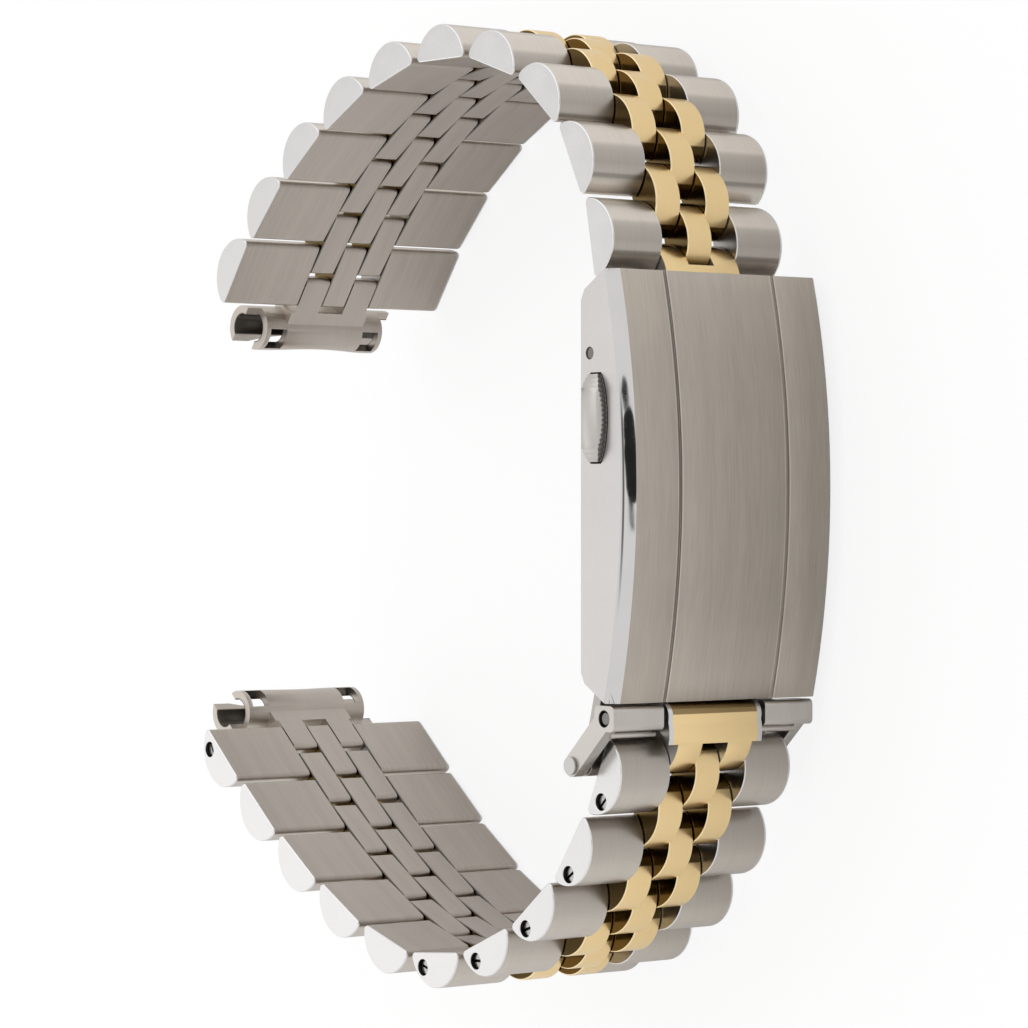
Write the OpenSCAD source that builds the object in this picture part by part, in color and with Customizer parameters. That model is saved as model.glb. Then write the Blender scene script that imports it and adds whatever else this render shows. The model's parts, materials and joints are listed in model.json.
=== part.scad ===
// Two-tone five-column watch bracelet with a folding clasp, lying on its side.
// X points out of the clasp's face, Y runs along the clasp towards the 12 o'clock strap,
// Z is the bracelet's width and the direction of every hinge pin. The shapes are drawn from the
// middle of the clasp's face, and moved at the end to the channel in the 12 o'clock case end.

/* [Links] */
// Length of bracelet that one row of links takes up
pitch = 6.4; // [5.8:0.1:7.2]
// Gap between one link and the next in the same column
link_gap = 0.5; // [0.4:0.05:0.7]
// Thickness of a link from its flat back to the top of its round front
link_t = 2.7; // [2.5:0.05:3]
// Radius of the two long edges of a link's back
back_r = 0.4; // [0.3:0.05:0.45]
// Width of the row beside the watch case
first_w = 21.2; // [20:0.1:23]
// Width of the row beside the clasp
last_w = 16; // [15:0.1:16.8]
// Width of each of the three middle columns
column_w = 2.25; // [2:0.05:2.5]
// Radius of a hinge pin
pin_r = 0.42; // [0.35:0.01:0.5]
// Height of the hinge pins above the flat backs
pin_h = 1.15; // [1.05:0.05:1.3]

/* [Clasp] */
// Length of the clasp cover
cover_l = 30.6; // [29:0.2:34]
// Width of the clasp cover
cover_w = 19.6; // [19.2:0.1:21]
// Radius of the cover's face along its length
cover_r = 64; // [60:1:80]
// Depth of the cover's sides in the middle
cover_d = 5.3; // [5.1:0.1:6]
// Length of a push button along the clasp
button_l = 6.2; // [5:0.1:7]
// Width of a push button
button_w = 2.5; // [2.2:0.1:2.8]
// Height of a push button above the cover's side
button_h = 0.8; // [0.6:0.05:1]

/* [Case ends] */
// Radius of the channel that holds the case's spring bar
channel_r = 1.1; // [0.9:0.05:1.15]
// Width of the case end between its two wings
case_end_w = 11.4; // [10:0.1:13]
// Radius of the watch case that the end is cut to
case_r = 19; // [17:0.5:22]

/* [Hidden] */
$fn = 64;
ROWS = 10;
SIDES = [12, 6];

// Fits: a pin sits fast in one piece and turns in the other
fast = 0.02;
turning = 0.05;
column_gap = 0.06;
swing_gap = 0.4;
past = 1;

// The shape of one link: half its length, its front arc and the centre of that arc
half_l = (pitch - link_gap) / 2;
front_rise = link_t - back_r;
front_r = (half_l * half_l + front_rise * front_rise) / (2 * front_rise);
front_y = link_t - pin_h - front_r;
pin_x = pitch / 4;
end_reach = half_l - pin_x;
swing_r = norm([end_reach, pin_h]) + swing_gap;
middle_w = 3 * column_w + 2 * column_gap;
column_z = column_w + column_gap;

// Where each strap hangs on the clasp, how long its end piece is, and which way the end piece
// and the ten rows point, counted from the clasp; the 6 o'clock strap is given mirrored
bar_x = -4.3;
bar_inset = 5.9;
bar_y = cover_l / 2 - bar_inset;
bar_len = 7;
ear_x = -3.3;
ear_out = 1.1;
ear_y = cover_l / 2 + ear_out;
ear_len = 3.2;
lie_12 = [97, 101, 117, 140, 161, 179, 195, 206, 215, 225, 233];
lie_6 = [103, 114, 125, 142, 157, 175, 196, 207, 213, 218, 220];

function unit(a) = [cos(a), sin(a)];
function lie(side) = side == 12 ? lie_12 : lie_6;
function strap_start(side) = side == 12 ? [bar_x, bar_y] : [ear_x, ear_y];
function strap_len(side) = side == 12 ? bar_len : ear_len;

// Elements of a strap: 0 is the end piece, odd ones are rows 10 to 1, even ones the pairs
// between them and the case end
function element_lie(side, e) =
    e == 0 ? lie(side)[0] :
    e >= 2 * ROWS ? lie(side)[ROWS] :
    e % 2 == 1 ? lie(side)[(e + 1) / 2] :
    (lie(side)[e / 2] + lie(side)[e / 2 + 1]) / 2;
function element_pin(side, e) =
    e == 0 ? strap_start(side) :
    e == 1 ? strap_start(side) + strap_len(side) * unit(element_lie(side, 0)) :
    element_pin(side, e - 1) + pitch / 2 * unit(element_lie(side, e - 1));
function turned(a, v) = [v[0] * cos(a) - v[1] * sin(a), v[0] * sin(a) + v[1] * cos(a)];
function row_w(k) = first_w + (last_w - first_w) * (k - 1) / (ROWS - 1);

// The channel for the case's spring bar, seen from the case end's pin; the one at 12 o'clock
// is the model's origin
channel_wall = 0.7;
channel_far = 2.5;
channel_x = -channel_far - channel_r - channel_wall;
channel_y = 0.1;
home = element_pin(12, 2 * ROWS)
    + turned(element_lie(12, 2 * ROWS) + 180, [channel_x, channel_y]);

// Puts a shape on a strap: x towards the clasp, y out of the loop, origin on the element's
// clasp-side pin
module on_strap(side, e) {
    p = element_pin(side, e);
    mirror([0, side == 6 ? 1 : 0, 0])
        translate([p[0], p[1], 0])
            rotate([0, 0, element_lie(side, e) + 180])
                children();
}

// A slab of a flat shape between two heights
module slab(low, high) {
    translate([0, 0, low]) linear_extrude(height = high - low) children();
}

// Pins and bores run along the bracelet's width
module bar(x, y, r, low, high) {
    translate([x, y, low]) cylinder(r = r, h = high - low);
}

// Outline of a link seen from its side: flat back, rounded back edges, round front
module link_outline() {
    top = link_t - pin_h;
    shoulder = back_r - pin_h;
    translate([-pin_x, 0]) {
        intersection() {
            translate([0, front_y]) circle(r = front_r, $fn = 96);
            translate([-half_l - past, shoulder])
                square([2 * (half_l + past), top - shoulder + past]);
        }
        translate([-half_l + back_r, -pin_h]) square([2 * (half_l - back_r), back_r]);
        for (s = [-1, 1])
            intersection() {
                translate([s * (half_l - back_r), shoulder]) circle(r = back_r, $fn = 32);
                translate([s > 0 ? half_l - back_r : -half_l, -pin_h])
                    square([back_r, back_r]);
            }
    }
}

// Metal left between a pin and an outer link's cap, and the screw heads sunk in it
cap_t = 0.9;
screw_r = 0.58;
screw_sink = 0.3;

// One outer link, its inner side at z = 0 and its cap at z = w, bored for two pins
module outer_link(w, screwed) {
    pin_depth = w - cap_t;
    difference() {
        slab(0, w) link_outline();
        for (x = [0, -2 * pin_x]) bar(x, 0, pin_r + fast, -past, pin_depth + fast);
        if (screwed) bar(-2 * pin_x, 0, screw_r + 0.05, pin_depth, w + past);
    }
}

// A slotted screw head on the end of a hinge pin, its top at z = 0
module screw_head(depth) {
    slot_w = 0.22;
    slot_d = 0.22;
    slot_turn = 20;
    difference() {
        bar(0, 0, screw_r, -depth, 0);
        rotate([0, 0, slot_turn])
            translate([-past, -slot_w / 2, -slot_d]) cube([2 * past, slot_w, past]);
    }
}

// The 6 o'clock rows that come apart to size the bracelet have a screw on one pin
function screwed(side, k) = side == 6 && (k == 1 || k >= 6);

// A row: two outer links and a middle link on two pins
module link(side, k) {
    w = row_w(k);
    outer_w = (w - middle_w) / 2 - column_gap;
    pin_end = w / 2 - cap_t;
    has_screw = screwed(side, k);
    on_strap(side, 2 * (ROWS - k) + 1) {
        color("silver") translate([0, 0, w / 2 - outer_w]) outer_link(outer_w, has_screw);
        color("silver")
            mirror([0, 0, 1]) translate([0, 0, w / 2 - outer_w]) outer_link(outer_w, false);
        color("goldenrod") difference() {
            slab(-column_w / 2, column_w / 2) link_outline();
            for (x = [0, -2 * pin_x]) bar(x, 0, pin_r + fast, -past - column_w, past + column_w);
        }
        color("gray") bar(0, 0, pin_r, -pin_end, pin_end);
        color("gray") {
            bar(-2 * pin_x, 0, pin_r, -pin_end, pin_end + (has_screw ? 2 * fast : 0));
            if (has_screw)
                translate([-2 * pin_x, 0, w / 2 - screw_sink])
                    screw_head(cap_t - screw_sink - fast);
        }
    }
}

// A pair: the two links that hang between one row and the next
module pair(side, k) {
    color("goldenrod") on_strap(side, 2 * (ROWS - k))
        for (s = [-1, 1])
            difference() {
                slab(s * column_z - column_w / 2, s * column_z + column_w / 2) link_outline();
                for (x = [0, -2 * pin_x])
                    bar(x, 0, pin_r + turning, s * column_z - column_w, s * column_z + column_w);
            }
}

// Where a row's pin at the origin meets two prongs: room for the row to turn in everywhere
// but in the prongs, and bores through them. A roofed piece keeps its front over the end of
// the row's middle link.
roof_at = [0.55, 1];
module prong_cuts(roofed = false) {
    between = column_w / 2 + column_gap;
    difference() {
        bar(0, 0, swing_r, -between, between);
        if (roofed)
            translate([roof_at[0], roof_at[1], -between - past])
                cube([swing_r, swing_r, 2 * (between + past)]);
    }
    for (s = [0, 1]) mirror([0, 0, s]) bar(0, 0, swing_r, middle_w / 2, first_w);
    bar(0, 0, pin_r + turning, -middle_w / 2 - past, middle_w / 2 + past);
}

// Metal left outside the prongs' columns, and the height of the tongue on the clasp's side
end_piece_wall = 0.9;
tongue_h = 1;

// The piece that hangs a strap on the clasp: its own pin is the origin, and the strap's
// first pin is one end piece away, between two prongs
module end_piece(side, bore_r) {
    len = strap_len(side);
    half_w = middle_w / 2 + end_piece_wall;
    color("goldenrod") on_strap(side, 0)
        difference() {
            slab(-half_w, half_w) {
                translate([-len, 0]) mirror([1, 0]) link_outline();
                translate([half_l - len, -pin_h]) square([len - half_l, pin_h + tongue_h]);
                circle(r = pin_h);
            }
            translate([-len, 0, 0]) prong_cuts(side == 12);
            bar(0, 0, bore_r, -2 * half_w, 2 * half_w);
        }
}

// The piece that fits against the watch case: two prongs on the first row's pin and an open
// channel for the case's spring bar. Beside the prongs the channel is also open behind, and at
// each end only its front half goes on, as a wing.
module case_end(side) {
    back_edge = channel_x - channel_r - channel_wall;
    wall = channel_wall;
    mouth = channel_r;
    wing_w = 1.3;
    hollow = 0.9;
    half_w = case_end_w / 2;
    body_w = middle_w / 2 + 0.3;
    window_w = 1.9;
    color("silver") on_strap(side, 2 * ROWS)
        difference() {
            union() {
                slab(-body_w, body_w) link_outline();
                slab(-half_w, half_w)
                    translate([channel_x, channel_y]) circle(r = channel_r + wall);
                slab(-half_w - wing_w, half_w + wing_w)
                    intersection() {
                        translate([channel_x, channel_y]) circle(r = channel_r + wall);
                        translate([back_edge - past, channel_y + 0.2])
                            square([2 * (channel_r + wall) + past, 2 * channel_r]);
                    }
            }
            prong_cuts();
            bar(channel_x, channel_y, channel_r, -first_w, first_w);
            for (s = [0, 1]) mirror([0, 0, s])
                slab(body_w, half_w - 0.4)
                    translate([channel_x - window_w / 2, channel_y - 0.2 - 2 * channel_r])
                        square([window_w, 2 * channel_r]);
            slab(-first_w, first_w)
                translate([channel_x, channel_y - mouth / 2])
                    mirror([1, 0]) square([2 * channel_r + wall, mouth]);
            translate([back_edge + hollow - case_r, 0, 0])
                rotate([90, 0, 0])
                    translate([0, 0, -2 * link_t])
                        cylinder(r = case_r, h = 4 * link_t, $fn = 128);
        }
}

// The clasp's curved parts are slices of rings about one axis behind the cover's face
plate_t = 1.2;
wall_t = 1;
chamfer = 0.8;
groove_z = 5;
groove_w = 0.3;
groove_d = 0.15;
inner_blade = [cover_r - 2.7, cover_r - 1.9];
outer_blade = [cover_r - 4.1, cover_r - 3.25];
inner_blade_w = 6;
blade_room = 0.7;
outer_blade_w = cover_w - 2 * wall_t - 2 * blade_room;
fold_w = outer_blade_w - 5.4;
knuckle_gap = 0.15;
fold_y = 6;
hinge_y = -cover_l / 2 + 2.7;
tip_y = -cover_l / 2 - 4.6;
fold_r = 0.8;
hinge_r = 0.7;
clasp_pin_r = 0.35;
tip_pin_r = 0.4;

function ring_point(rho, y) = [sqrt(rho * rho - y * y) - cover_r, y];
fold = ring_point((inner_blade[0] + outer_blade[1]) / 2, fold_y);
hinge = ring_point((inner_blade[0] + inner_blade[1]) / 2, hinge_y);
tip = ring_point((outer_blade[0] + outer_blade[1]) / 2, tip_y);
strap_pin_at = [ear_x, -ear_y];
button_at = [-3.6, 4.8];

// Slice of a ring between two radii and two distances along the clasp
module ring_slice(rho, low, high) {
    intersection() {
        translate([-cover_r, 0])
            difference() {
                circle(r = rho[1], $fn = 256);
                circle(r = rho[0], $fn = 256);
            }
        translate([-cover_r / 2, low]) square([cover_r, high - low]);
    }
}

// Cross-section of the cover, its distance from the ring axis along x and its width along y
module cover_section() {
    half_w = cover_w / 2;
    low = cover_r - cover_d - 3;
    difference() {
        polygon([
            [low, -half_w], [cover_r - chamfer, -half_w], [cover_r, -half_w + chamfer],
            [cover_r, half_w - chamfer], [cover_r - chamfer, half_w], [low, half_w]
        ]);
        translate([low - past, -half_w + wall_t])
            square([cover_r - plate_t - low + past, cover_w - 2 * wall_t]);
        for (z = [-groove_z, groove_z])
            translate([cover_r - groove_d, z - groove_w / 2]) square([groove_w, groove_w]);
    }
}

// Side view of the cover: straight ends and a straight rear edge, with blunted corners between
module cover_outline() {
    half = cover_l / 2;
    slant_at = -2.6;
    slants = [[0.4 - cover_d, -1.35], [-cover_d, -2.1]];
    right = concat([[past, half], [slant_at, half]], [for (s = slants) [s[0], half + s[1]]]);
    polygon(concat(right, [for (i = [len(right) - 1:-1:0]) [right[i][0], -right[i][1]]]));
}

module cover() {
    color("silver") difference() {
        union() {
            intersection() {
                translate([-cover_r, 0, 0]) rotate_extrude($fn = 360) cover_section();
                slab(-cover_w, cover_w) cover_outline();
            }
            for (s = [0, 1]) mirror([0, 0, s]) {
                hinge_lug();
                spring_seat();
            }
        }
        for (s = [0, 1]) mirror([0, 0, s])
            slab(cover_w / 2 - wall_t - past, cover_w / 2 + past)
                translate(button_at) button_outline(0.12, 0);
        bar(bar_x, bar_y, bar_tip_r + turning, -cover_w, cover_w);
        bar(hinge[0], hinge[1], clasp_pin_r + fast, -hinge_lug_z[1] - past, hinge_lug_z[1] + past);
    }
}

// One of the two lugs inside the cover that hold the hinge pin of the inner blade
hinge_lug_z = [inner_blade_w / 2 + knuckle_gap, inner_blade_w / 2 + 1.9];
module hinge_lug() {
    slab(hinge_lug_z[0], hinge_lug_z[1])
        translate(hinge) {
            circle(r = hinge_r);
            rotate(asin(hinge_y / cover_r))
                translate([0, -hinge_r]) square([2.3 - plate_t / 2, 2 * hinge_r]);
        }
}

// A post inside the cover that a button's spring pushes against
seat_half = 1.1;
seat_z = [fold_w / 2 + 0.2, fold_w / 2 + 0.6];
module spring_seat() {
    slab(seat_z[0], seat_z[1])
        translate([button_at[0] - seat_half, button_at[1] - seat_half])
            square([seat_half - button_at[0] - plate_t / 2, 2 * seat_half]);
}

// Outline of a push button: an oval with blunt ends, its edge cut into teeth
module button_outline(grow, tooth) {
    n = 36;
    half = button_l / 2 + grow;
    full = button_l / 2 + 0.35 + grow;
    function edge(i) =
        let (y = -half + 2 * half * i / n)
        [(button_w / 2 + grow) * sqrt(1 - y * y / full / full) - (i % 2) * tooth, y];
    right = [for (i = [0:n]) edge(i)];
    polygon(concat(right, [for (i = [n:-1:0]) [-right[i][0], right[i][1]]]));
}

button_travel = 0.6;
shoulder_t = 0.5;
shoulder_z = cover_w / 2 - wall_t - shoulder_t - turning;

// A push button: crowned head with a toothed edge, and a shoulder behind the cover's wall
module push_button() {
    side = cover_w / 2;
    top = side + button_h;
    edge_h = 0.4;
    long_r = 9;
    short_r = 1.9;
    slab(shoulder_z, shoulder_z + shoulder_t) translate(button_at) button_outline(0.35, 0);
    slab(shoulder_z + shoulder_t / 2, side) translate(button_at) button_outline(0, 0);
    intersection() {
        slab(side - 0.3, top + past) translate(button_at) button_outline(0, 0.09);
        translate([button_at[0] - button_w, button_at[1], top - long_r])
            rotate([0, 90, 0]) cylinder(r = long_r, h = 2 * button_w, $fn = 128);
        translate([button_at[0], button_at[1] - button_l, top - short_r])
            rotate([-90, 0, 0]) cylinder(r = short_r, h = 2 * button_l, $fn = 96);
    }
}
module button_near() { color("silver") push_button(); }
module button_far() { color("silver") mirror([0, 0, 1]) push_button(); }

// Coil spring between the post and the button's shoulder, as a wire of rings of points
module coil(low, high) {
    wire_r = 0.16;
    coil_r = 0.8;
    turns = 4;
    sides = 6;
    steps = 14 * turns;
    run = high - low - 2 * wire_r;
    points = [for (i = [0:steps], j = [0:sides - 1])
        let (turn = 360 * turns * i / steps, around = 360 * j / sides,
            r = coil_r + wire_r * cos(around))
        [r * cos(turn), r * sin(turn), low + wire_r + run * i / steps + wire_r * sin(around)]];
    walls = [for (i = [0:steps - 1], j = [0:sides - 1])
        [i * sides + j, (i + 1) * sides + j, (i + 1) * sides + (j + 1) % sides,
            i * sides + (j + 1) % sides]];
    ends = [[for (j = [0:sides - 1]) j], [for (j = [sides - 1:-1:0]) steps * sides + j]];
    polyhedron(points, concat(walls, ends));
}
module button_spring() {
    translate([button_at[0], button_at[1], 0])
        coil(seat_z[1] + fast, shoulder_z - fast);
}
module spring_near() { color("gray") button_spring(); }
module spring_far() { color("gray") mirror([0, 0, 1]) button_spring(); }

// The sprung bar that carries the 12 o'clock strap, its thin tips in the cover's walls
bar_r = 0.7;
bar_tip_r = 0.4;
module spring_bar() {
    body = cover_w / 2 - wall_t - 0.1;
    tip_end = cover_w / 2 - 0.1;
    color("gray") {
        bar(bar_x, bar_y, bar_r, -body, body);
        bar(bar_x, bar_y, bar_tip_r, -tip_end, tip_end);
    }
}

// The inner blade folds from the cover's hinge up to the fold
module blade_inner() {
    half_w = inner_blade_w / 2;
    color("silver") difference() {
        slab(-half_w, half_w) {
            ring_slice(inner_blade, hinge_y, fold_y);
            translate(hinge) circle(r = hinge_r);
            translate(fold) circle(r = fold_r);
        }
        bar(hinge[0], hinge[1], clasp_pin_r + turning, -half_w - past, half_w + past);
        bar(fold[0], fold[1], clasp_pin_r + turning, -half_w - past, half_w + past);
    }
}

// The outer blade runs back from the fold, past the cover's end, to its tip behind the strap
module blade_outer() {
    wide = outer_blade_w / 2;
    narrow = fold_w / 2;
    shoulder_y = -1.2;
    window_y = [hinge_y + 0.6, shoulder_y - 3.3];
    window_w = 5;
    color("silver") difference() {
        union() {
            slab(-wide, wide) {
                ring_slice(outer_blade, tip_y, shoulder_y);
                translate(tip) circle(r = fold_r);
            }
            slab(-narrow, narrow) {
                ring_slice(outer_blade, shoulder_y - past, fold_y);
                translate(fold) circle(r = fold_r);
            }
        }
        bar(fold[0], fold[1], fold_r + 0.2, -inner_blade_w / 2 - knuckle_gap,
            inner_blade_w / 2 + knuckle_gap);
        bar(fold[0], fold[1], clasp_pin_r + fast, -wide, wide);
        bar(tip[0], tip[1], tip_pin_r + turning, -wide - past, wide + past);
        translate([-2 * cover_d, window_y[0], -window_w / 2])
            cube([2 * cover_d, window_y[1] - window_y[0], window_w]);
        for (y = window_y)
            translate([-2 * cover_d, y, 0])
                rotate([0, 90, 0]) cylinder(r = window_w / 2, h = 2 * cover_d);
    }
}

module hinge_pin() {
    color("gray") bar(hinge[0], hinge[1], clasp_pin_r, -hinge_lug_z[1], hinge_lug_z[1]);
}
module fold_pin() {
    color("gray") bar(fold[0], fold[1], clasp_pin_r, -fold_w / 2, fold_w / 2);
}

// The extension: an arm and an ear on each side, held together by their two pins
arm_out = cover_w / 2 - 0.5;
ear_z = [middle_w / 2 + end_piece_wall + 0.4, arm_out];
arm_z = [arm_out - 0.9, arm_out];
arm_r = 0.8;
ear_hole_r = 0.6;
module extension() {
    reach = strap_pin_at - tip;
    ear_half = [1.1, 0.92];
    ear_round = 0.4;
    brace = strap_pin_at + [-0.3, -1.2];
    color("silver") difference() {
        for (s = [0, 1]) mirror([0, 0, s]) {
            slab(arm_z[0], arm_z[1]) {
                translate(tip) circle(r = arm_r);
                translate(strap_pin_at) circle(r = arm_r);
                translate(tip) rotate(atan2(reach[1], reach[0]))
                    translate([0, -arm_r]) square([norm(reach), 2 * arm_r]);
            }
            slab(ear_z[0], ear_z[1])
                translate(strap_pin_at) rounded_block(ear_half, ear_round);
            bar(brace[0], brace[1], 0.25, middle_w / 2 + end_piece_wall + 0.2, arm_z[0] + 0.2);
        }
        bar(tip[0], tip[1], tip_pin_r + fast, -cover_w, cover_w);
        bar(strap_pin_at[0], strap_pin_at[1], pin_r + fast, -cover_w, cover_w);
        for (s = [0, 1]) mirror([0, 0, s])
            bar(strap_pin_at[0], strap_pin_at[1], ear_hole_r, ear_z[1] - 0.5, ear_z[1] + past);
    }
}

// A flat block with round corners, centred, from its half sizes
module rounded_block(half, r) {
    square([2 * half[0], 2 * (half[1] - r)], center = true);
    square([2 * (half[0] - r), 2 * half[1]], center = true);
    for (x = [r - half[0], half[0] - r], y = [r - half[1], half[1] - r])
        translate([x, y]) circle(r = r, $fn = 32);
}

// The pin at the outer blade's tip, with a low round head on each side
module extension_pin() {
    head_r = 0.65;
    head_h = 0.2;
    color("gray") {
        bar(tip[0], tip[1], tip_pin_r, -ear_z[1] - head_h, ear_z[1] + head_h);
        for (s = [0, 1]) mirror([0, 0, s])
            bar(tip[0], tip[1], head_r, ear_z[1] + fast, ear_z[1] + head_h);
    }
}
module strap_pin() {
    color("gray") bar(strap_pin_at[0], strap_pin_at[1], pin_r, 0.15 - ear_z[1], ear_z[1] - 0.15);
}

translate([-home[0], -home[1], 0]) {
    cover();
    button_near();
    button_far();
    spring_near();
    spring_far();
    spring_bar();
    blade_inner();
    blade_outer();
    fold_pin();
    hinge_pin();
    extension();
    extension_pin();
    strap_pin();
    for (side = SIDES) {
        end_piece(side, side == 12 ? bar_r + turning : pin_r + turning);
        case_end(side);
        for (k = [1:ROWS])
            link(side, k);
        for (k = [1:ROWS - 1])
            pair(side, k);
    }
}
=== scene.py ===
"""A two-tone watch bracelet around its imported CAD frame: link meshes, springs, finishes and light.

Places are in metres, as in the frame. Sizes that are named in capitals are in millimetres.
"""

from collections import namedtuple
import math

import bpy
from mathutils import Matrix, Vector
from mathutils.geometry import tessellate_polygon
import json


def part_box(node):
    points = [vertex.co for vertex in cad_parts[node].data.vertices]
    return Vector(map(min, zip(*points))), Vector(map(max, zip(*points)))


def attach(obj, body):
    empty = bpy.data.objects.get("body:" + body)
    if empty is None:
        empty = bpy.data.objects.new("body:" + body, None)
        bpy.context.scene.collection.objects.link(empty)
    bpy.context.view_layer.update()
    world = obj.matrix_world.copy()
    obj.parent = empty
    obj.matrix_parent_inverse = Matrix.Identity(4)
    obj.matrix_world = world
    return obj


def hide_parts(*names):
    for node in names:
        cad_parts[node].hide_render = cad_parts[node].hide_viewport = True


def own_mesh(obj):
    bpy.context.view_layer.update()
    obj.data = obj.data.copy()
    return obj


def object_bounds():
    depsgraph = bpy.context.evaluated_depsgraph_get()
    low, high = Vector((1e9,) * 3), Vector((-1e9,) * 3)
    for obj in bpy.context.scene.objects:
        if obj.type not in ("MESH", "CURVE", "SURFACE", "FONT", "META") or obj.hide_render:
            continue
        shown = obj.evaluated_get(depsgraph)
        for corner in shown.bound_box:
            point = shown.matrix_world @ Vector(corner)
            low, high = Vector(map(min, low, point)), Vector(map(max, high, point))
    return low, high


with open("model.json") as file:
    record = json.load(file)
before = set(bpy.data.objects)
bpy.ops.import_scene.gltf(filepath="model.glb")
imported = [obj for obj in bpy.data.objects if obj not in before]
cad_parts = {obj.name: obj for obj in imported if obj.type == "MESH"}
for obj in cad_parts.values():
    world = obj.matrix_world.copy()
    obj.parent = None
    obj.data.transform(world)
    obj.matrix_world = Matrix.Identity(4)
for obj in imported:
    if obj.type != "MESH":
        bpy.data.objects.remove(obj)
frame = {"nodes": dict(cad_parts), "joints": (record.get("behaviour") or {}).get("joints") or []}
cad_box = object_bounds()

MM = 0.001
JOINTS = {joint["child"]: joint for joint in frame["joints"]}
NODES = frame["nodes"]
SIDES = (12, 6)
ROWS = 10
UP = Vector((0, 0, 1))

# One link seen from its side, from the pin on its clasp side: x towards the clasp, y out of the
# loop. The columns lie side by side along z.
HALF_L = 2.95
PIN_X = 1.6
PIN_H = 1.15
LINK_T = 2.7
BACK_R = 0.4
COLUMN_W = 2.25
COLUMN_GAP = 0.06
MIDDLE_W = 3 * COLUMN_W + 2 * COLUMN_GAP

# Rounded rims: on caps towards the photograph's camera, on caps away from it, and in the gaps
NEAR_RIM = 0.1
FAR_RIM = 0.35
INNER_RIM = 0.08

# Slotted screws, with depths from the cap that they are sunk in
SCREW_R = 0.58
SCREW_H = 0.45
SCREW_SINK = 0.3
SCREW_EDGE = 0.06
HOLE_R = 0.63
HOLE_LIP = 0.04
HOLE_DEPTH = 0.6
SLOT_W = 0.22
SLOT_D = 0.22
SLOT_TURN = math.radians(20)

# The bar under a slot: its length against the head's, so that its corners end just inside the
# round side, how far it reaches into both halves, and how far it stays off the bottom
BAR_SHARE = 0.97
BAR_OVERLAP = 0.03
BAR_LIFT = 0.02

# Faces along each curve
ARC_STEPS = 36
CORNER_STEPS = 8
RIM_STEPS = 3
CIRCLE_STEPS = 40
HALF_DISC_STEPS = 16

# The clasp and the case ends, where their materials follow their forms. Brushed lines on the
# clasp run along y, and a painted shadow of the cover darkens a short length of the end piece at
# 6 o'clock.
LENGTHWISE = math.radians(-90)
GROOVE_Z = 5
CHAMFER = 0.8
CROWN_R = 28
CHEEK_W = 0.4
COVERED_L = 1.325
CHANNEL_R = 1.1
PIN_R = 0.42
TIP_PIN_R = 0.4
EDGE_R = 0.07
FINE_EDGE_R = 0.04

# The coils behind the buttons
COIL_R = 0.8
WIRE_R = 0.16
WIRE_SIDES = 12
COIL_TURNS = 4
TURN_STEPS = 40

STEEL = (0.52, 0.47, 0.42)
COVER_STEEL = (0.405, 0.365, 0.318)
# A lighter copy of STEEL for the outer links' fronts, as painted light; their backs keep STEEL,
# which stands for painted shade beside them
LIT_LINK_STEEL = (0.575, 0.53, 0.477)
BUTTON_STEEL = (0.5, 0.475, 0.45)
SATIN = (0.66, 0.65, 0.64)
SIDE_STEEL = (0.6, 0.575, 0.56)
GOLD = (0.88, 0.665, 0.35)
# A dark copy of the gold, as painted shade on gold faces that turn away or stand in the gaps
SHADED_GOLD = (0.15, 0.1, 0.038)

# Grain of brushed faces: changes per millimetre along the lines, out of the face and across
LINK_GRAIN = (0.25, 0.5, 9.0)
COVER_GRAIN = (0.06, 0.3, 7.0)
EVEN_GRAIN = (4.0, 4.0, 4.0)
GRAIN_DEPTH = 0.01

# Painted shade that a groove takes off the cover's tone; painted light that its lips, the cover's
# ends and the strip outside the near groove add to it; and painted shade taken off in holes, in
# deep shade and in the bevel's line
GROOVE_SHADE = 0.5
LIP_LIGHT = 0.3
END_LIGHT = 0.16
STRIP_LIGHT = 0.09
DEEP_SHADE = 0.8

# Painted highlight and painted shade on the satin front of an outer link: how bright it is against
# the direction its face turns, from faces that look up along the clasp at -1 to faces that look
# down along it at 1
FRONT_PAINTED_LIGHT = {
    12: [(-1, 0.85), (-0.93, 1.0), (-0.86, 1.28), (-0.47, 1.25), (-0.36, 0.9), (-0.25, 0.8),
         (0.03, 0.72), (0.2, 0.85), (0.26, 0.88), (0.31, 0.55), (0.37, 0.6), (0.42, 1.0),
         (0.52, 1.35), (1, 1.5)],
    6: [(-1, 0.75), (-0.3, 0.76), (0, 0.79), (0.28, 0.87), (0.5, 0.98), (0.7, 1.02),
        (0.86, 0.97), (1, 0.8)],
}


# The straps. Each body's own axes start at its pin on the clasp side.

def joint_at(child):
    """The pin that a body hangs on, from the frame."""
    return Vector(JOINTS[child]["pos_m"])


def strap(side):
    """The bodies of one strap from the clasp to the case end, in order."""
    names = [f"end_piece_{side}"]
    for row in range(ROWS, 0, -1):
        names.append(f"link_{side}_{row}")
        if row > 1:
            names.append(f"pair_{side}_{row - 1}")
    return names + [f"case_end_{side}"]


def near_way(side):
    """The way along a strap's own z axis that points up, where its near links are."""
    return 1 if side == 12 else -1


def strap_matrix(side, name):
    """Place of a strap's body: its pin, x towards the clasp and y out of the loop."""
    names = strap(side)
    index = names.index(name)
    here = joint_at(name)
    if index + 1 < len(names):
        x_axis = (here - joint_at(names[index + 1])).normalized()
    else:
        x_axis = (joint_at(names[index - 1]) - here).normalized()
    z_axis = UP * near_way(side)
    y_axis = z_axis.cross(x_axis)
    turn = Matrix((x_axis, y_axis, z_axis)).transposed()
    return Matrix.Translation(here) @ turn.to_4x4()


def grain_turn(side, name):
    """The turn about z that lays brushed lines along a strap's own x axis."""
    along = strap_matrix(side, name).to_3x3() @ Vector((1, 0, 0))
    return -math.atan2(along.y, along.x)


def is_screwed(side, row):
    return side == 6 and (row == 1 or row >= 6)


# Shader nodes, written as formulas

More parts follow.
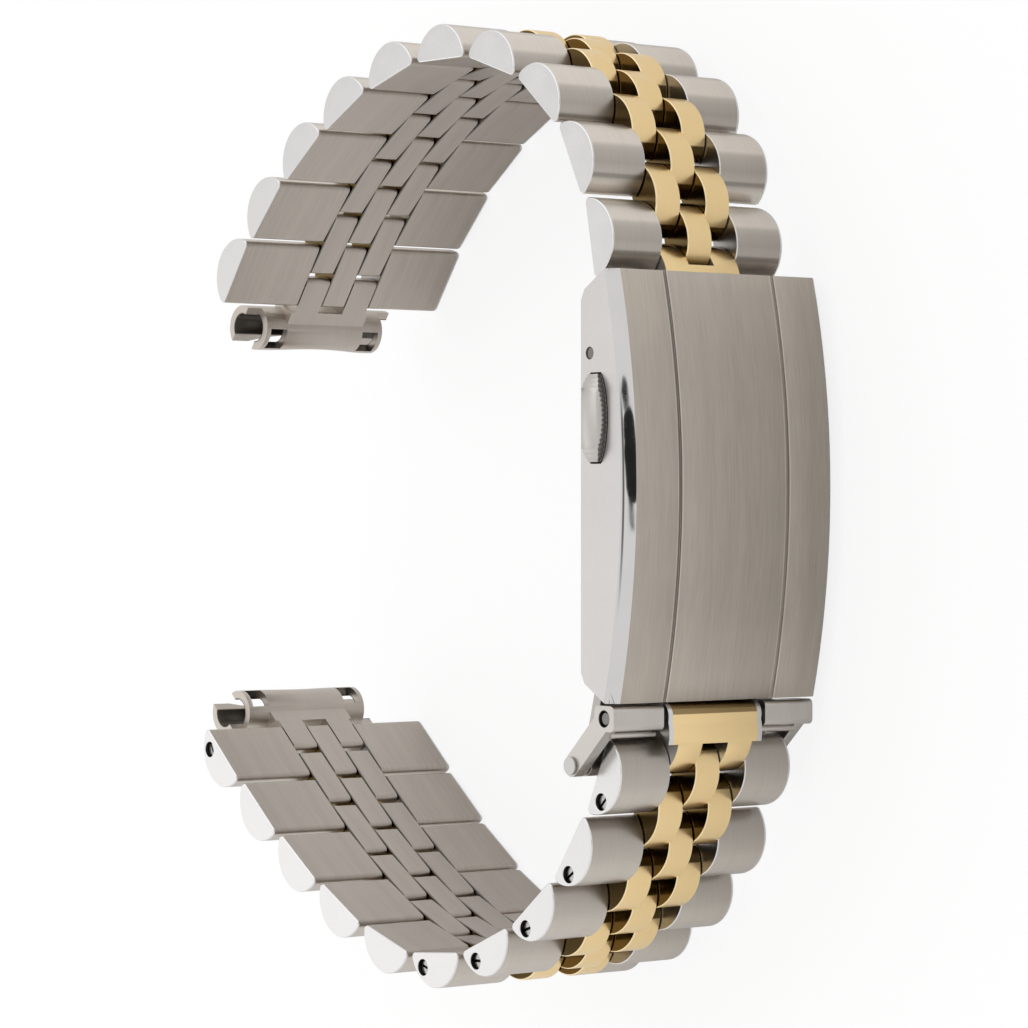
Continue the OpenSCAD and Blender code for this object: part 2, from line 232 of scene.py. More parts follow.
class Value:
    """A number that nodes work out at each point, for use in sums and products."""

    def __init__(self, graph, socket):
        self.graph = graph
        self.socket = socket

    def __add__(self, other):
        return self.graph.number_math("ADD", self, other)

    def __sub__(self, other):
        return self.graph.number_math("SUBTRACT", self, other)

    def __rsub__(self, other):
        return self.graph.number_math("SUBTRACT", other, self)

    def __mul__(self, other):
        return self.graph.number_math("MULTIPLY", self, other)

    def __truediv__(self, other):
        return self.graph.number_math("DIVIDE", self, other)

    def __abs__(self):
        return self.graph.number_math("ABSOLUTE", self)

    __radd__ = __add__
    __rmul__ = __mul__

    def step(self, low, high):
        """A smooth step from 0 at low to 1 at high."""
        return self.graph.mapped(self, low, high, 0, 1, "SMOOTHSTEP")

    def past(self, edge, soft):
        """0 before an edge and 1 after it, with a soft change on both sides of it."""
        return self.step(edge - soft, edge + soft)

    def band(self, rise, top, fall, end):
        """Up from 0 at rise to 1 at top, and down again from fall to 0 at end."""
        return self.step(rise, top) * (1 - self.step(fall, end))

    def spread(self, low, high):
        """Noise, which mostly keeps to 0.3 to 0.7, spread over low to high."""
        return self.graph.mapped(self, 0.3, 0.7, low, high, "LINEAR")


class Graph:
    """The nodes of one material or world."""

    def __init__(self, tree):
        self.tree = tree

    def feed(self, socket, source):
        """Sets a socket to a constant, or links it to what the source gives."""
        if isinstance(source, Value):
            source = source.socket
        if isinstance(source, bpy.types.NodeSocket):
            self.tree.links.new(source, socket)
        else:
            socket.default_value = source

    def node(self, kind, **settings):
        """A node whose settings are its inputs by name, or else its properties."""
        made = self.tree.nodes.new(kind)
        for name, value in settings.items():
            if name in made.inputs:
                self.feed(made.inputs[name], value)
            else:
                setattr(made, name, value)
        return made

    def operate(self, kind, operation, *terms):
        """A node for a sum or another operation, fed with its terms in order."""
        made = self.node(kind, operation=operation)
        for socket, term in zip(made.inputs, terms):
            self.feed(socket, term)
        return made

    def number_math(self, operation, *terms):
        return Value(self, self.operate("ShaderNodeMath", operation, *terms).outputs[0])

    def vector_math(self, operation, *terms):
        """The outputs of a vector operation, which are a vector and a number."""
        return self.operate("ShaderNodeVectorMath", operation, *terms).outputs

    def mapped(self, value, low, high, to_low, to_high, curve):
        made = self.node("ShaderNodeMapRange", interpolation_type=curve, **{
            "Value": value, "From Min": low, "From Max": high,
            "To Min": to_low, "To Max": to_high})
        return Value(self, made.outputs["Result"])

    def largest(self, *values):
        total = values[0]
        for value in values[1:]:
            total = self.number_math("MAXIMUM", total, value)
        return total

    def component(self, vector, axis):
        parts = self.node("ShaderNodeSeparateXYZ", Vector=vector)
        return Value(self, parts.outputs[axis])

    def curve(self, value, stops):
        """A curve through stops of position and level, over positions from -1 to 1."""
        made = self.node("ShaderNodeValToRGB", Fac=(value + 1.0) * 0.5)
        elements = made.color_ramp.elements
        for position, level in stops:
            if position == -1:
                element = elements[0]
            elif position == 1:
                element = elements[-1]
            else:
                element = elements.new((position + 1) / 2)
            element.color = (level / 2, level / 2, level / 2, 1)
        return Value(self, made.outputs["Color"]) * 2.0

    def scaled(self, color, factor):
        """A colour times a value that stays around one."""
        made = self.node("ShaderNodeVectorMath", operation="SCALE", Scale=factor)
        self.feed(made.inputs[0], color)
        return made.outputs["Vector"]

    def mixed(self, factor, first, second):
        made = self.node("ShaderNodeMixShader")
        for socket, source in zip(made.inputs, (factor, first.outputs[0], second.outputs[0])):
            self.feed(socket, source)
        return made


class Finish(Graph):
    """A material whose grain, wear and tones, painted light and shade among them, are drawn in each
    object's own coordinates.
    """

    def __init__(self, name, color, roughness, metallic=1.0):
        self.material = bpy.data.materials.new(name)
        self.material.use_nodes = True
        super().__init__(self.material.node_tree)
        self.shader = self.tree.nodes["Principled BSDF"]
        self.shader.inputs["Base Color"].default_value = (*color, 1)
        self.shader.inputs["Metallic"].default_value = metallic
        self.shader.inputs["Roughness"].default_value = roughness
        seen = self.node("ShaderNodeTexCoord")
        self.coords = seen.outputs["Object"]
        self.normal = seen.outputs["Normal"]

    def another(self, color, roughness):
        """A second metal, for a part of the surface."""
        return self.node("ShaderNodeBsdfPrincipled", Metallic=1.0, Roughness=roughness,
                         **{"Base Color": (*color, 1)})

    def cover_with(self, shader):
        """Makes a shader the material's surface and gives back the material."""
        self.feed(self.tree.nodes["Material Output"].inputs["Surface"], shader.outputs[0])
        return self.material

    def noise(self, scale, turn, detail):
        """Noise stretched by three scales, given per millimetre."""
        mapping = self.node("ShaderNodeMapping", Vector=self.coords, Rotation=(0, 0, turn),
                            Scale=[s / MM for s in scale])
        made = self.node("ShaderNodeTexNoise", Vector=mapping.outputs["Vector"], Scale=1.0,
                         Detail=detail, Roughness=0.6)
        return Value(self, made.outputs["Fac"])

    def facing(self, direction, low, high):
        """How far a face turns to a direction of the object, from 0 at low to 1 at high."""
        dot = self.vector_math("DOT_PRODUCT", self.normal, direction)["Value"]
        return Value(self, dot).step(low, high)

    def coordinate(self, axis):
        """One of the object's coordinates, in millimetres."""
        return self.component(self.coords, axis) / MM

    def inside_circle(self, centre, radius, soft=0.04):
        """1 within a radius in millimetres around an axis along z, 0 outside."""
        dx = self.coordinate("X") - centre.x / MM
        dy = self.coordinate("Y") - centre.y / MM
        away = self.number_math("SQRT", dx * dx + dy * dy)
        return 1 - away.past(radius, soft)

    def bump(self, shader, height, strength, distance=GRAIN_DEPTH * MM):
        made = self.node("ShaderNodeBump", Height=height, Strength=strength, Distance=distance)
        self.feed(shader.inputs["Normal"], made.outputs["Normal"])

    def brush(self, shader, color, roughness, strength, turn=0.0, grain=LINK_GRAIN,
              relief=0.12):
        """Brushed lines along x: a colour, a roughness and a bump that vary across them."""
        fine = self.noise(grain, turn, 3)
        broad = self.noise((0.02, 0.02, 0.5), turn, 1)
        smudge = self.noise((0.12, 0.12, 0.12), 0, 3)
        streak = (fine + broad * 0.6) / 1.6
        tone = streak.spread(1 - strength, 1 + strength) * smudge.spread(0.975, 1.02)
        rough = fine.spread(roughness - strength / 2, roughness + strength / 2)
        self.feed(shader.inputs["Base Color"], self.scaled(color, tone))
        self.feed(shader.inputs["Roughness"], rough + smudge.spread(-0.02, 0.03))
        self.bump(shader, fine, relief)

    def polish(self, shader, color, roughness):
        """A polished face: faint smudges, hairline scratches and a slight waviness."""
        smudge = self.noise((0.25, 0.25, 0.25), 0, 4)
        hairs = self.noise((0.6, 7.0, 5.0), 0.6, 2)
        rough = smudge.spread(roughness - 0.02, roughness + 0.05) + hairs.spread(0, 0.03)
        self.feed(shader.inputs["Base Color"], self.scaled(color, smudge.spread(0.97, 1.02)))
        self.feed(shader.inputs["Roughness"], rough)
        self.bump(shader, smudge, 0.04)

    def golds(self, turn=0.0):
        """Pale satin gold, and dark polished gold as painted shade for the faces that turn away."""
        self.brush(self.shader, GOLD, 0.3, 0.012, turn, relief=0.02)
        dark = self.another(SHADED_GOLD, 0.12)
        self.polish(dark, SHADED_GOLD, 0.12)
        return self.shader, dark


# Materials

def brushed_material(name, color, roughness, strength, turn=0.0):
    finish = Finish(name, color, roughness)
    finish.brush(finish.shader, color, roughness, strength, turn)
    return finish.material


def polished_material(name, color, roughness):
    finish = Finish(name, color, roughness)
    finish.polish(finish.shader, color, roughness)
    return finish.material


def gold_front_material():
    """Pale satin gold whose steep ends are polished and dark, as painted shade."""
    finish = Finish("gold_front", GOLD, 0.3)
    gold, steep = finish.golds()
    front = finish.facing((0, 1, 0), 0.6, 0.64)
    return finish.cover_with(finish.mixed(front, steep, gold))


def link_front_material(side):
    """Satin front of an outer link, with bands of painted highlight and painted shade."""
    finish = Finish(f"steel_front_{side}", LIT_LINK_STEEL, 0.34)
    normal = finish.node("ShaderNodeNewGeometry").outputs["Normal"]
    # Painted highlight and painted shade, picked by how far the face turns up or down in the world
    shade = finish.curve(finish.component(normal, "Y") * -1.0, FRONT_PAINTED_LIGHT[side])
    finish.brush(finish.shader, finish.scaled(LIT_LINK_STEEL, shade), 0.34, 0.06)
    return finish.material


def cover_material():
    """Brushed face with two grooves and satin sides, crowned polished bevels between them."""
    finish = Finish("steel_cover", COVER_STEEL, 0.36)
    low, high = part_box("cover")
    z = finish.coordinate("Z")
    along = finish.coordinate("Y") - (low.y + high.y) / 2 / MM

    # Painted shade in the grooves and painted highlight on their lips, fainter on the far half;
    # painted light towards the ends and on the strip outside the near groove
    off_groove = abs(abs(z) - GROOVE_Z)
    groove = 1 - off_groove.step(0.08, 0.16)
    lip = off_groove.band(0.13, 0.18, 0.22, 0.3)
    shown = z.step(-1, 1) * 0.6 + 0.4
    tone = 1 - groove * shown * GROOVE_SHADE + lip * LIP_LIGHT
    tone = tone + abs(along).step(7, 16) * END_LIGHT + z.past(GROOVE_Z + 0.2, 0.1) * STRIP_LIGHT
    finish.brush(finish.shader, finish.scaled(COVER_STEEL, tone), 0.36, 0.12, LENGTHWISE,
                 COVER_GRAIN)

    side = finish.another(SIDE_STEEL, 0.3)
    finish.brush(side, SIDE_STEEL, 0.34, 0.03, LENGTHWISE, EVEN_GRAIN)

    # A painted dark reflection as a thin line along the bevel's outer half, and a crown across it
    bevel = finish.another(SATIN, 0.06)
    across = abs(z) - (high.z / MM - CHAMFER / 2)
    line = across.band(0.18, 0.23, 0.28, 0.33) * along.band(-10, -3, 4, 8)
    finish.polish(bevel, finish.scaled(SATIN, 1 - line * DEEP_SHADE), 0.03)
    finish.bump(bevel, across * across * (-MM / CROWN_R), 1.0, 1.0)

    # The two slants of the bevels towards x and z, each with the cosines where it takes over
    slants = ((0.4, 0.92, 0.9, 0.93), (0.707, 0.707, 0.93, 0.96))
    slanted = finish.largest(*[finish.facing((x, 0, way * z), start, full)
                               for x, z, start, full in slants for way in (1, -1)])
    sides = finish.largest(*[finish.facing((0, 0, way), 0.9, 0.95) for way in (1, -1)])
    front = finish.mixed(slanted, finish.shader, bevel)
    return finish.cover_with(finish.mixed(sides, front, side))


def end_piece_material(side):
    """Gold on the front between steel cheeks; steel on the sides and the back. Dark gold is painted
    shade where the front turns away, and a painted shadow under the cover at 6 o'clock.
    """
    name = f"end_piece_{side}"
    finish = Finish(f"gold_{name}", GOLD, 0.3)
    out_way = strap_matrix(side, name).to_3x3() @ Vector((0, 1, 0))
    turn = grain_turn(side, name)
    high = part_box(name)[1] / MM
    gold, dark = finish.golds(turn)
    steel = finish.another(SATIN, 0.3)
    finish.brush(steel, SATIN, 0.3, 0.04, turn)
    cheeks = abs(finish.coordinate("Z")).past(high.z - CHEEK_W, 0.02)
    sides = finish.largest(finish.facing((0, 0, 1), 0.6, 0.7), finish.facing((0, 0, -1), 0.6, 0.7),
                           finish.facing(-out_way, 0.3, 0.4), cheeks)
    # Painted shade: dark gold wherever the front does not face out of the loop, and at 6 o'clock a
    # painted shadow of the cover over its covered length
    lit = finish.facing(out_way, 0.5, 0.6)
    if side == 6:
        cover_shadow = finish.coordinate("Y").past(high.y - COVERED_L, 0.025)
        lit = lit * (1 - cover_shadow * DEEP_SHADE)
    return finish.cover_with(finish.mixed(sides, finish.mixed(lit, dark, gold), steel))


def holed_material(name, color, roughness, turn, holes):
    """Brushed steel with painted shade inside and around the mouths of its holes along z."""
    finish = Finish(name, color, roughness)
    inside = finish.largest(*[finish.inside_circle(centre, radius) for centre, radius in holes])
    # Painted shade in and around the holes
    tone = 1 - inside * DEEP_SHADE
    finish.brush(finish.shader, finish.scaled(color, tone), roughness, 0.06, turn)
    return finish.material


def case_end_material(side):
    """Brushed steel with painted shade in its channel. At 12 o'clock the channel is the frame's
    origin.
    """
    from_pin = strap_matrix(12, "case_end_12").inverted() @ Vector((0, 0, 0))
    name = f"case_end_{side}"
    channel = strap_matrix(side, name) @ from_pin
    return holed_material(f"steel_{name}", STEEL, 0.34, grain_turn(side, name),
                          [(channel, CHANNEL_R + 0.08)])


def button_material():
    """A bright crowned face on a toothed side that is darker as painted shade."""
    finish = Finish("steel_button", BUTTON_STEEL, 0.34)
    crown = finish.largest(*[finish.facing((0, 0, way), 0.6, 0.8) for way in (1, -1)])
    # Painted shade: the toothed side is darker than the crown
    finish.brush(finish.shader, finish.scaled(BUTTON_STEEL, crown * 0.5 + 0.5), 0.34, 0.05)
    return finish.material


# The links' backs, in the plain STEEL that is darker than their fronts as painted shade
link_steel = brushed_material("steel_brushed", STEEL, 0.36, 0.13)
cap_steel = polished_material("steel_cap", SATIN, 0.22)
# Polished rounded rims that catch real light, in colours lighter than their metals as painted
# highlight
rim_steel = polished_material("steel_rim_painted_highlight", (0.74, 0.73, 0.72), 0.14)
gold_rim_painted_highlight = polished_material("gold_rim_painted_highlight", (0.95, 0.78, 0.48), 0.14)
# The gold links' sides in the gaps, dark as painted shade
gold_side_painted_shade = polished_material("gold_side_painted_shade", SHADED_GOLD, 0.16)
# Link ends that face the gold columns, darker than the caps as painted shade
shaded_inner_steel = polished_material("steel_inner", (0.34, 0.32, 0.30), 0.25)
# Near black in screw holes and slots, as painted shade
shaded_recess_steel = polished_material("steel_in_recess_painted_shade", (0.05, 0.047, 0.043), 0.4)
# Dark rims in the gaps between links, as painted shade
shaded_edge_steel = polished_material("steel_inner_edge_painted_shade", (0.2, 0.185, 0.17), 0.3)
screw_steel = polished_material("steel_screw", (0.45, 0.44, 0.42), 0.2)
pin_steel = polished_material("steel_pin", (0.5, 0.49, 0.47), 0.2)
# Pins sunk in holes, darker than the other pins as painted shade
shaded_pin_steel = polished_material("steel_pin_sunk", (0.2, 0.19, 0.18), 0.2)
blade_steel = brushed_material("steel_blade", (0.42, 0.40, 0.38), 0.3, 0.06, LENGTHWISE)
button_steel = button_material()
# The extension, with painted shade around its pin holes
extension_steel = holed_material(
    "steel_extension", (0.56, 0.525, 0.49), 0.32, LENGTHWISE,
    [(joint_at("extension"), TIP_PIN_R + 0.12), (joint_at("end_piece_6"), PIN_R + 0.2)])
gold_front = gold_front_material()

# The slots of a link's mesh, and what they hold on steel and on gold links
FRONT, BACK, CAP, SIDE, EDGE, FRONT_EDGE, RECESS, SCREW, INNER_EDGE = range(9)
STEEL_LINK = {side: [link_front_material(side), link_steel, cap_steel, shaded_inner_steel,
                     rim_steel, rim_steel, shaded_recess_steel, screw_steel, shaded_edge_steel]
              for side in SIDES}
GOLD_LINK = [gold_front, link_steel, cap_steel, gold_side_painted_shade,
             rim_steel, gold_rim_painted_highlight, shaded_recess_steel, screw_steel, shaded_edge_steel]


# Links, as prisms with rounded ends

def link_profile():
    """Points around a link's outline with their outward directions; the front comes first."""
    rise = LINK_T - BACK_R
    radius = (HALF_L ** 2 + rise ** 2) / (2 * rise)
    middle_y = LINK_T - PIN_H - radius
    start = math.asin((BACK_R - PIN_H - middle_y) / radius)
    points, outward = [], []
    for i in range(ARC_STEPS + 1):
        a = start + (math.pi - 2 * start) * i / ARC_STEPS
        points.append((-PIN_X + radius * math.cos(a), middle_y + radius * math.sin(a)))
        outward.append((math.cos(a), math.sin(a)))
    # The arc's ends point straight out, as the corners there do, or a wide rim would fold
    outward[0], outward[-1] = (1, 0), (-1, 0)
    corners = ((-1, range(1, CORNER_STEPS + 1)), (1, range(CORNER_STEPS, 2 * CORNER_STEPS)))
    for way, steps in corners:
        middle_x = -PIN_X + way * (HALF_L - BACK_R)
        for i in steps:
            a = math.pi + math.pi / 2 * i / CORNER_STEPS
            points.append((middle_x + BACK_R * math.cos(a), BACK_R * (1 + math.sin(a)) - PIN_H))
            outward.append((math.cos(a), math.sin(a)))
    return points, outward


class MeshParts:
    """Vertices with their normals and faces with their slots, gathered for one mesh."""

    def __init__(self):
        self.vertices, self.normals, self.faces, self.slots = [], [], [], []

    def ring(self, points, normals):
        start = len(self.vertices)
        self.vertices += points
        self.normals += normals
        return list(range(start, start + len(points)))

    def face(self, corners, slot, flip=False):
        self.faces.append(list(reversed(corners)) if flip else list(corners))
        self.slots.append(slot)

    def strip(self, low, high, slots, flip=False):
        """Faces between two closed rings of the same length."""
        n = len(low)
        for i in range(n):
            j = (i + 1) % n
            slot = slots[i] if isinstance(slots, list) else slots
            self.face([low[i], low[j], high[j], high[i]], slot, flip)

    def plate(self, outline, hole, slot, way):
        """Fills a flat face between an outline and a hole in it, facing along z by way."""
        corners = outline + hole
        loops = [[Vector(self.vertices[v]) for v in ring] for ring in (outline, hole)]
        for triangle in tessellate_polygon(loops):
            a, b, c = (Vector(self.vertices[corners[i]]) for i in triangle)
            turned = (b - a).cross(c - a).z * way < 0
            self.face([corners[i] for i in triangle], slot, turned)

    def build(self, name, materials):
        mesh = bpy.data.meshes.new(name)
        mesh.from_pydata([Vector(v) * MM for v in self.vertices], [], self.faces)
        for material in materials:
            mesh.materials.append(material)
        mesh.polygons.foreach_set("material_index", self.slots)
        mesh.polygons.foreach_set("use_smooth", [True] * len(self.faces))
        mesh.update()
        mesh.normals_split_custom_set_from_vertices([Vector(n).normalized() for n in self.normals])
        return add_object(name, mesh)


def add_object(name, data):
    thing = bpy.data.objects.new(name, data)
    bpy.context.scene.collection.objects.link(thing)
    return thing


PROFILE, PROFILE_OUT = link_profile()
PROFILE_SLOTS = [FRONT if i < ARC_STEPS else BACK for i in range(len(PROFILE))]

# One end of a link: its height along z, how wide its rim is rounded, and the slot of its cap
End = namedtuple("End", "z rim slot")


def prism(parts, low, high, screw_way=0):
    """One link between two ends; each has a rounded rim around a flat cap."""
    ends = []
    for end, way in ((low, -1), (high, 1)):
        back_edge = EDGE if end.slot == CAP else INNER_EDGE
        rim_slots = [FRONT_EDGE if slot == FRONT else back_edge for slot in PROFILE_SLOTS]
        rings = [rim_ring(parts, end, way, math.pi / 2 * i / RIM_STEPS)
                 for i in range(RIM_STEPS + 1)]
        for a, b in zip(rings, rings[1:]):
            parts.strip(a, b, rim_slots, flip=way < 0)
        ends.append((end, way, rings))
    parts.strip(ends[0][2][0], ends[1][2][0], PROFILE_SLOTS)
    for end, way, rings in ends:
        if screw_way == way:
            screw_cap(parts, rings[-1], end, way)
        else:
            parts.face(rings[-1], end.slot, flip=way < 0)


def rim_ring(parts, end, way, turned):
    """The outline on a rounded rim, from the side at an angle of 0 to the cap at 90 degrees."""
    inset = end.rim * (1 - math.cos(turned))
    z = end.z - way * end.rim * (1 - math.sin(turned))
    level, up = math.cos(turned), way * math.sin(turned)
    points = [(x - inset * out_x, y - inset * out_y, z)
              for (x, y), (out_x, out_y) in zip(PROFILE, PROFILE_OUT)]
    return parts.ring(points, [(out_x * level, out_y * level, up) for out_x, out_y in PROFILE_OUT])


def screw_cap(parts, outline, end, way):
    """A cap with a screw sunk in it, on the pin away from the clasp: a hole with a lip and a
    floor, and a slotted head."""
    x = -2 * PIN_X
    flip = way < 0
    turns = [2 * math.pi * i / CIRCLE_STEPS for i in range(CIRCLE_STEPS)]

    def circle(radius, depth, inward, up):
        return parts.ring(
            [(x + radius * math.cos(a), radius * math.sin(a), end.z - way * depth) for a in turns],
            [(-inward * math.cos(a), -inward * math.sin(a), way * up) for a in turns])

    lip = circle(HOLE_R + HOLE_LIP, 0, 0, 1)
    parts.plate(outline, lip, end.slot, way)
    parts.strip(lip, circle(HOLE_R, HOLE_LIP, 1, 1), EDGE, flip)
    parts.strip(circle(HOLE_R, HOLE_LIP, 1, 0), circle(HOLE_R, HOLE_DEPTH, 1, 0), RECESS, flip)
    parts.face(circle(HOLE_R, HOLE_DEPTH, 0, 1), RECESS, flip)
    screw_head(parts, x, end.z - way * SCREW_SINK, way)


def screw_head(parts, x, z, way):
    """Two half discs with a straight slot between them, and a bar that is the slot's floor."""
    flip = way < 0
    turn = Matrix.Rotation(SLOT_TURN, 2)
    half = SLOT_W / 2

    def turned_ring(corners, depth, normals_out):
        corners = [turn @ Vector(corner) for corner in corners]
        return parts.ring([(x + q.x, q.y, z - way * depth) for q in corners],
                          [(q.x, q.y, 0) if normals_out else (0, 0, way) for q in corners])

    limit = math.asin(half / SCREW_R)
    turns = [limit + (math.pi - 2 * limit) * i / HALF_DISC_STEPS
             for i in range(HALF_DISC_STEPS + 1)]
    shrink = (SCREW_R - SCREW_EDGE) / SCREW_R
    for s in (-1, 1):
        edge = [(SCREW_R * math.cos(a), s * SCREW_R * math.sin(a)) for a in turns]
        if s < 0:
            edge.reverse()
        # The top's round edge is drawn in, but not its straight one along the slot
        inner = [(px * shrink, py if abs(py) < half + 1e-6 else py * shrink) for px, py in edge]
        bottom = turned_ring(edge, SCREW_H, True)
        side = turned_ring(edge, SCREW_EDGE, True)
        top = turned_ring(inner, 0, False)
        parts.strip(bottom, side, SCREW, flip)
        parts.strip(side, top, SCREW, flip)
        parts.face(top, SCREW, flip)
        parts.face(bottom, SCREW, not flip)

    bar_l, bar_w = SCREW_R * BAR_SHARE, half + BAR_OVERLAP
    corners = [(-bar_l, -bar_w), (bar_l, -bar_w), (bar_l, bar_w), (-bar_l, bar_w)]
    floor = turned_ring(corners, SLOT_D, False)
    under = turned_ring(corners, SCREW_H - BAR_LIFT, False)
    parts.strip(under, floor, RECESS, flip)
    parts.face(floor, RECESS, flip)
    parts.face(under, RECESS, not flip)


def place(thing, side, body):
    thing.matrix_world = strap_matrix(side, body)
    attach(thing, body)


def add_row(side, row):
    body = f"link_{side}_{row}"
    low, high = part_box(body)
    half_w = (high.z - low.z) / 2 / MM
    near = near_way(side)
    for label, way, rim in (("near", near, NEAR_RIM), ("far", -near, FAR_RIM)):
        inner = End(way * (MIDDLE_W / 2 + COLUMN_GAP), INNER_RIM, SIDE)
        outer = End(way * half_w, rim, CAP)
        screwed = label == "near" and is_screwed(side, row)
        parts = MeshParts()
        prism(parts, *sorted((inner, outer)), way if screwed else 0)
        link = parts.build(f"outer_link_{label}_{side}_{row}", STEEL_LINK[side])
        place(link, side, body)
        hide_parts(body)
    link = gold_link(f"middle_link_{side}_{row}", 0)
    place(link, side, body)


def add_pair(side, row):
    body = f"pair_{side}_{row}"
    for way in (-1, 1):
        label = "near" if way == near_way(side) else "far"
        link = gold_link(f"pair_link_{label}_{side}_{row}", way * (COLUMN_W + COLUMN_GAP))
        place(link, side, body)
        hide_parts(body)


def gold_link(name, centre):
    parts = MeshParts()
    prism(parts, End(centre - COLUMN_W / 2, INNER_RIM, SIDE),
          End(centre + COLUMN_W / 2, INNER_RIM, SIDE))
    return parts.build(name, GOLD_LINK)


for side in SIDES:
    for row in range(1, ROWS + 1):
        add_row(side, row)
        if row < ROWS:
            add_pair(side, row)


# Coil springs in the places of the CAD ones

def add_spring(label, way):
    """A coil in the place of the CAD one, set from its inner end and carried with the cover."""
    low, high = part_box(f"spring_{label}")
    length = (high.z - low.z) / MM
    parts = MeshParts()
    rings = []
    steps = TURN_STEPS * COIL_TURNS
    for i in range(steps + 1):
        turn = 2 * math.pi * i / TURN_STEPS
        z = WIRE_R + (length - 2 * WIRE_R) * i / steps
        points, normals = [], []
        for j in range(WIRE_SIDES):
            around = 2 * math.pi * j / WIRE_SIDES
            out, up = math.cos(around), math.sin(around)
            r = COIL_R + WIRE_R * out
            points.append((r * math.cos(turn), r * math.sin(turn), way * (z + WIRE_R * up)))
            normals.append((out * math.cos(turn), out * math.sin(turn), way * up))
        rings.append(parts.ring(points, normals))
    for a, b in zip(rings, rings[1:]):
        parts.strip(a, b, 0, flip=way > 0)
    parts.face(rings[0], 0, flip=way < 0)
    parts.face(rings[-1], 0, flip=way > 0)

    spring = parts.build(f"coil_{label}", [pin_steel])
    middle = (low + high) / 2
    anchor = Vector((middle.x, middle.y, way * min(abs(low.z), abs(high.z))))
    spring.location = anchor
    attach(spring, "clasp_cover")
    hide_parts(f"spring_{label}")
    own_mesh(spring)


add_spring("near", 1)
add_spring("far", -1)


# CAD nodes: rounded edges for the light to catch, and finishes

def round_edges(thing, width):
    weld = thing.modifiers.new("weld", "WELD")
    weld.merge_threshold = 1e-6
    round_off = thing.modifiers.new("round", "BEVEL")
    round_off.width = width * MM
    round_off.segments = 3
    round_off.limit_method = "ANGLE"
    round_off.angle_limit = math.radians(35)
    round_off.harden_normals = True
    round_off.use_clamp_overlap = True


CAD_FINISHES = {
    "cover": cover_material(),
    "button_near": button_steel,
    "button_far": button_steel,
    "spring_bar": shaded_pin_steel,
    "blade_inner": blade_steel,
    "blade_outer": blade_steel,
    "fold_pin": pin_steel,
    "hinge_pin": pin_steel,
    "extension": extension_steel,
    "extension_pin": pin_steel,
    "strap_pin": shaded_pin_steel,
    "end_piece_12": end_piece_material(12),
    "end_piece_6": end_piece_material(6),
    "case_end_12": case_end_material(12),
    "case_end_6": case_end_material(6),
}

for name, material in CAD_FINISHES.items():
    is_fine = "pin" in name or "button" in name
    round_edges(NODES[name], FINE_EDGE_R if is_fine else EDGE_R)
    NODES[name].data.materials.clear()
    NODES[name].data.materials.append(material)


# Camera at the photograph's place, moved from the middle of the clasp's face
IMAGE_PX = 1028
FOCAL_PX = 3720
VIEW_ANGLE = math.radians(37)
VIEW_DISTANCE = 265
VIEW_RIGHT = -15.75
VIEW_UP = -1.96

# The room's brightness, what the window adds to it and what the dark patch takes away
ROOM_LIGHT = 0.92
WINDOW_LIGHT = 0.55
PATCH_SHADE = 0.9


def add_camera():
    low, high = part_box("cover")
    face = Vector((high.x, (low.y + high.y) / 2, 0))
    back = Vector((math.cos(VIEW_ANGLE), 0, math.sin(VIEW_ANGLE)))
    up = Vector((0, 1, 0))
    right = up.cross(back)
    camera = add_object("camera", bpy.data.cameras.new("camera"))
    camera.data.sensor_width = 36
    camera.data.lens = camera.data.sensor_width * FOCAL_PX / IMAGE_PX
    camera.data.clip_start = 0.01
    camera.data.clip_end = 10
    here = face + (back * VIEW_DISTANCE + right * VIEW_RIGHT + up * VIEW_UP) * MM
    turn = Matrix((right, up, back)).transposed()
    camera.matrix_world = Matrix.Translation(here) @ turn.to_4x4()
    bpy.context.scene.camera = camera


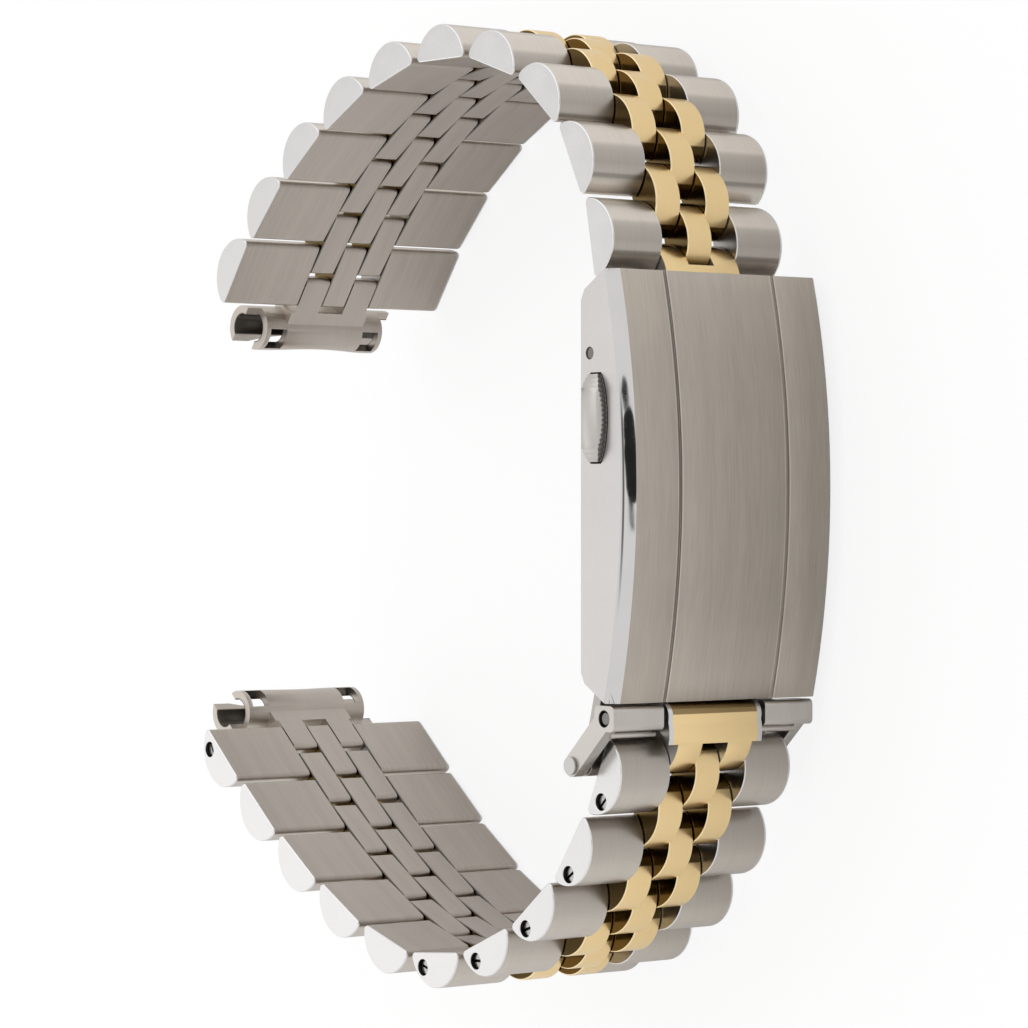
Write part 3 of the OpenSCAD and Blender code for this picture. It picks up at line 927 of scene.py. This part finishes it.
def add_floor():
    """A pale floor that the camera sees near white, with the shadow kept faint."""
    size = 3
    z = cad_box[0].z
    mesh = bpy.data.meshes.new("floor")
    corners = [(x * size, y * size, z) for x, y in ((-1, -1), (1, -1), (1, 1), (-1, 1))]
    mesh.from_pydata(corners, [], [(0, 1, 2, 3)])
    floor = add_object("floor", mesh)
    finish = Finish("floor_white", (0.92, 0.92, 0.92), 0.9, metallic=0)
    finish.shader.inputs["Specular IOR Level"].default_value = 0
    seen = Value(finish, finish.node("ShaderNodeLightPath").outputs["Is Camera Ray"])
    glow = finish.node("ShaderNodeEmission", Strength=1.03)
    mesh.materials.append(finish.cover_with(finish.mixed(seen * 0.8, finish.shader, glow)))


def add_key_light():
    """A small square light from the upper left behind the camera."""
    middle = (cad_box[0] + cad_box[1]) / 2
    way = Vector((-0.3, 0.3, 0.6))
    data = bpy.data.lights.new("key", "AREA")
    data.shape = "RECTANGLE"
    data.size = data.size_y = 0.5
    data.energy = 0.5
    light = add_object("key", data)
    light.location = middle + way
    light.rotation_euler = (-way).to_track_quat("-Z", "Y").to_euler()


def add_world():
    """An even pale room with a window behind the loop, for the links' caps, and a dark patch
    beside the camera, for the clasp's polished bevels."""
    world = bpy.data.worlds.new("studio")
    bpy.context.scene.world = world
    world.use_nodes = True
    graph = Graph(world.node_tree)
    background = graph.tree.nodes["Background"]
    way = graph.node("ShaderNodeTexCoord").outputs["Generated"]

    def lobe(direction, inner, outer, squeeze=1.0):
        """1 within an angle of a direction, 0 outside another; squeezed along y."""
        apart = graph.vector_math("SUBTRACT", way, Vector(direction).normalized())[0]
        apart = graph.vector_math("MULTIPLY", apart, (1, squeeze, 1))[0]
        away = Value(graph, graph.vector_math("LENGTH", apart)["Value"])
        return 1 - away.step(math.radians(inner), math.radians(outer))

    dark = lobe((0.683, 0.08, 0.73), 11.3, 11.9, 1.8)
    window = lobe((-0.87, -0.16, 0.47), 6, 19)
    graph.feed(background.inputs["Strength"],
               window * WINDOW_LIGHT + ROOM_LIGHT - dark * PATCH_SHADE)
    background.inputs["Color"].default_value = (1, 1, 1, 1)


add_camera()
add_floor()
add_key_light()
add_world()
bpy.context.scene.view_settings.view_transform = "Standard"
